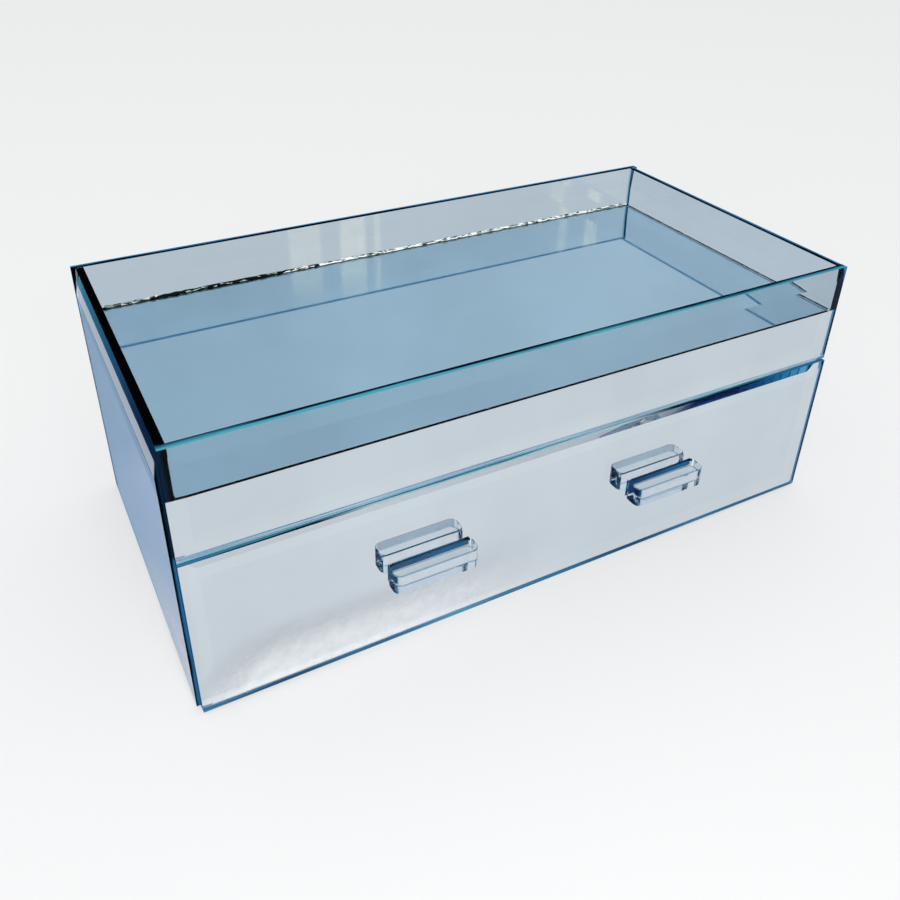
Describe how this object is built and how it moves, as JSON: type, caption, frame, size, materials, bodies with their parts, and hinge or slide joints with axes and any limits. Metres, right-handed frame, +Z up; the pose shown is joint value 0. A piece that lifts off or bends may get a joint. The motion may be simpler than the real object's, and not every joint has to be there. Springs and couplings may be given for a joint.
{
  "type": "mirrored jewellery box",
  "caption": "Open-topped bevelled glass tray with a mirrored floor over a full-width mirrored drawer with clear glass bar pulls.",
  "frame": {"origin": "on the table, under the middle of the glass walls", "axes": "+X to the right along the width, +Y to the back, +Z up; the drawer opens towards -Y"},
  "size_m": [0.3, 0.162, 0.1185],
  "materials": {
    "wall_glass": "clear polished bevelled glass",
    "front_glass": "clear polished bevelled glass",
    "tray_glass": "clear polished glass over silver",
    "pull_glass": "clear polished glass",
    "silver": "mirror",
    "adhesive": "clear cured glue",
    "board": "black-stained fibreboard",
    "velvet": "short-pile velvet",
    "felt": "pressed felt"
  },
  "bodies": {
    "case": {"left_side_pane": "wall_glass", "right_side_pane": "wall_glass", "back_pane": "wall_glass", "front_fascia_pane": "front_glass", "left_silver": "silver", "right_silver": "silver", "back_silver": "silver", "fascia_silver": "silver", "tray_mirror": "tray_glass", "tray_silver": "silver", "tray_board": "board", "rear_bead": "adhesive", "left_bead": "adhesive", "right_bead": "adhesive", "front_bead": "adhesive", "left_liner": "board", "right_liner": "board", "rear_liner": "board", "front_rail": "board", "base_board": "board", "base_felt": "felt", "left_glide": "felt", "right_glide": "felt"},
    "drawer": {"drawer_glass": "front_glass", "drawer_silver": "silver", "drawer_front_board": "board", "drawer_left_side": "board", "drawer_right_side": "board", "drawer_back": "board", "drawer_bottom": "board", "lining_floor": "velvet", "lining_left": "velvet", "lining_right": "velvet", "lining_front": "velvet", "lining_back": "velvet", "left_pull": "pull_glass", "right_pull": "pull_glass", "pull_bonds": "adhesive"}
  },
  "joints": [
    {"name": "drawer_slide", "type": "slide", "parent": "case", "child": "drawer", "axis": [0, -1, 0], "range_m": [0, 0.105]}
  ]
}
